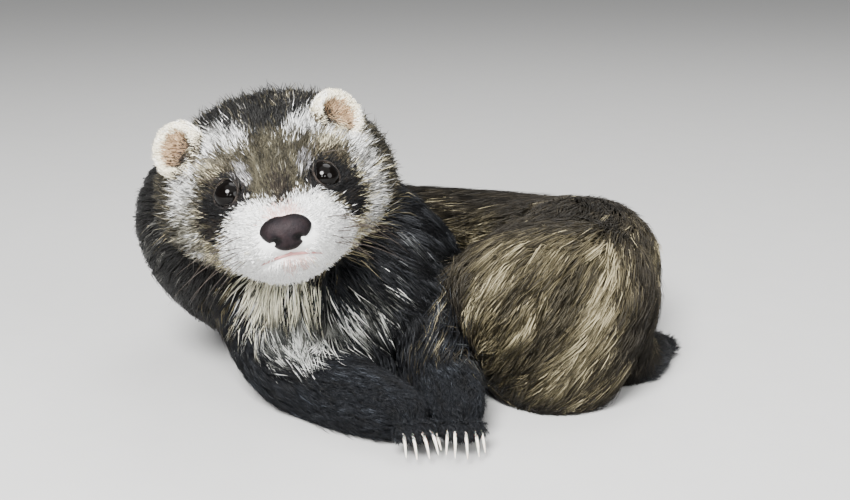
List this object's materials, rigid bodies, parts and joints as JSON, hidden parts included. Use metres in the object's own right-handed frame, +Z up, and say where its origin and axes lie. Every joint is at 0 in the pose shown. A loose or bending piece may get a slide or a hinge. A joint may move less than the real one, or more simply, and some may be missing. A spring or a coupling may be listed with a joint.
{
  "type": "ferret",
  "caption": "Life-size still model of a sable ferret lying curled on a floor, head raised and turned to the viewer, forepaws together.",
  "frame": {"origin": "bottom centre of the whole animal's bounding box, on the floor", "axes": "+Z up, -Y the way the face looks, +X to the right of somebody facing the face"},
  "size_m": [0.1824, 0.2002, 0.0974],
  "materials": {
    "coat_cream": "matte",
    "coat_buff": "matte",
    "coat_sable": "matte",
    "eye_gloss": "gloss",
    "nose_skin": "satin",
    "claw_horn": "satin"
  },
  "bodies": {
    "root": {"back": "coat_buff", "chest": "coat_sable", "ear_left": "coat_cream", "ear_right": "coat_cream", "eye_left": "eye_gloss", "eye_right": "eye_gloss", "foreleg_left_claw_1": "claw_horn", "foreleg_left_claw_2": "claw_horn", "foreleg_left_claw_3": "claw_horn", "foreleg_left_claw_4": "claw_horn", "foreleg_left_claw_5": "claw_horn", "foreleg_left_foot": "coat_sable", "foreleg_left_upper": "coat_sable", "foreleg_right_claw_1": "claw_horn", "foreleg_right_claw_2": "claw_horn", "foreleg_right_claw_3": "claw_horn", "foreleg_right_claw_4": "claw_horn", "foreleg_right_claw_5": "claw_horn", "foreleg_right_foot": "coat_sable", "foreleg_right_upper": "coat_sable", "head": "coat_cream", "hindleg_left_claw_1": "claw_horn", "hindleg_left_claw_2": "claw_horn", "hindleg_left_claw_3": "claw_horn", "hindleg_left_claw_4": "claw_horn", "hindleg_left_claw_5": "claw_horn", "hindleg_left_foot": "coat_sable", "hindleg_left_upper": "coat_sable", "hindleg_right_claw_1": "claw_horn", "hindleg_right_claw_2": "claw_horn", "hindleg_right_claw_3": "claw_horn", "hindleg_right_claw_4": "claw_horn", "hindleg_right_claw_5": "claw_horn", "hindleg_right_foot": "coat_sable", "hindleg_right_upper": "coat_buff", "hips": "coat_buff", "loin": "coat_buff", "neck": "coat_sable", "nose": "nose_skin", "tail_base": "coat_sable", "tail_middle": "coat_sable", "tail_tip": "coat_sable"}
  },
  "joints": []
}
